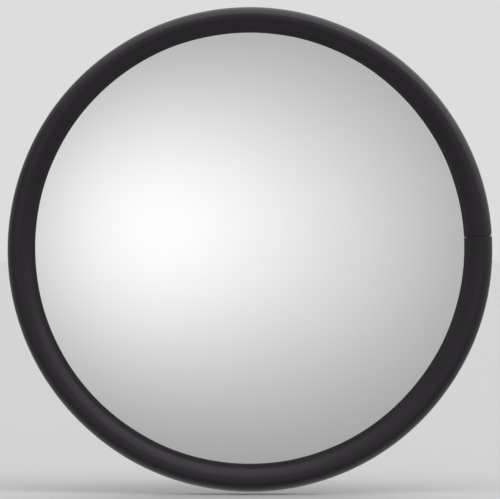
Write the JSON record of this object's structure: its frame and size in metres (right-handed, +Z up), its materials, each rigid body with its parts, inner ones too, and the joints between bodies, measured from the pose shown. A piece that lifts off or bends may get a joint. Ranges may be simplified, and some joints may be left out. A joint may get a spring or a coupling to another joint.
{
  "type": "convex security mirror",
  "caption": "Round convex mirror dome in a soft black edge gasket, on a ball joint and a telescoping wall arm.",
  "frame": {"origin": "middle of the wall plate's back face, where it meets the wall", "axes": "+Y into the wall, along the arm; the mirror looks along -Y at rest; +Z up"},
  "size_m": [0.4572, 0.2562, 0.4572],
  "materials": {
    "mirror_face": "smooth silvered acrylic",
    "black_vinyl": "matte soft vinyl",
    "hardboard": "tempered hardboard",
    "zinc_steel": "bright zinc plate",
    "spring_steel": "oiled spring steel",
    "bright_steel": "turned and polished",
    "chrome_tube": "bright chrome plate",
    "white_nylon": "natural nylon",
    "black_nylon": "black nylon",
    "black_coat": "fine satin powder coat",
    "black_plastic": "moulded, fine texture"
  },
  "bodies": {
    "wall_bracket": {"wall_plate": "black_coat", "outer_arm_tube": "black_coat", "weld_beads": "black_coat", "lock_boss": "black_coat", "mouth_bush": "black_nylon"},
    "arm": {"inner_arm_tube": "chrome_tube", "rear_glide": "black_nylon", "arm_end_plug": "zinc_steel", "plug_spring_pin": "spring_steel", "jam_lock_washer": "spring_steel", "jam_nut": "zinc_steel", "ball_stud": "bright_steel"},
    "lock_pad": {"lock_pad": "white_nylon"},
    "lock_screw": {"lock_screw": "zinc_steel", "lock_knob": "black_plastic"},
    "ball_liner": {"ball_liner": "white_nylon"},
    "pressure_seat": {"pressure_seat": "white_nylon"},
    "mirror_head": {"mirror_dome": "mirror_face", "edge_gasket": "black_vinyl", "back_board": "hardboard", "socket_plate": "zinc_steel", "spring_housing": "zinc_steel", "pressure_spring": "spring_steel", "socket_screws": "zinc_steel", "socket_lock_washers": "spring_steel", "socket_nuts": "zinc_steel"}
  },
  "joints": [
    {"name": "arm_slide", "type": "slide", "parent": "wall_bracket", "child": "arm", "axis": [0, -1, 0], "range_m": [0, 0.1]},
    {"name": "mirror_pan", "type": "hinge", "parent": "arm", "child": "ball_liner", "pos_m": [0, -0.2, 0], "axis": [0, 0, 1], "range_deg": [-30, 30]},
    {"name": "mirror_tilt", "type": "hinge", "parent": "ball_liner", "child": "pressure_seat", "pos_m": [0, -0.2, 0], "axis": [1, 0, 0], "range_deg": [-30, 30]},
    {"name": "mirror_roll", "type": "hinge", "parent": "pressure_seat", "child": "mirror_head", "pos_m": [0, -0.2, 0], "axis": [0, 1, 0], "continuous": true},
    {"name": "lock_travel", "type": "slide", "parent": "wall_bracket", "child": "lock_pad", "axis": [0, 0, -1], "range_m": [0, 0.003]},
    {"name": "lock_turn", "type": "hinge", "parent": "lock_pad", "child": "lock_screw", "pos_m": [0, -0.13, 0], "axis": [0, 0, -1], "range_deg": [0, 1080]}
  ],
  "couplings": [
    {"joint": "lock_turn", "follows": "lock_travel", "rad_per_m": 6283.2}
  ]
}
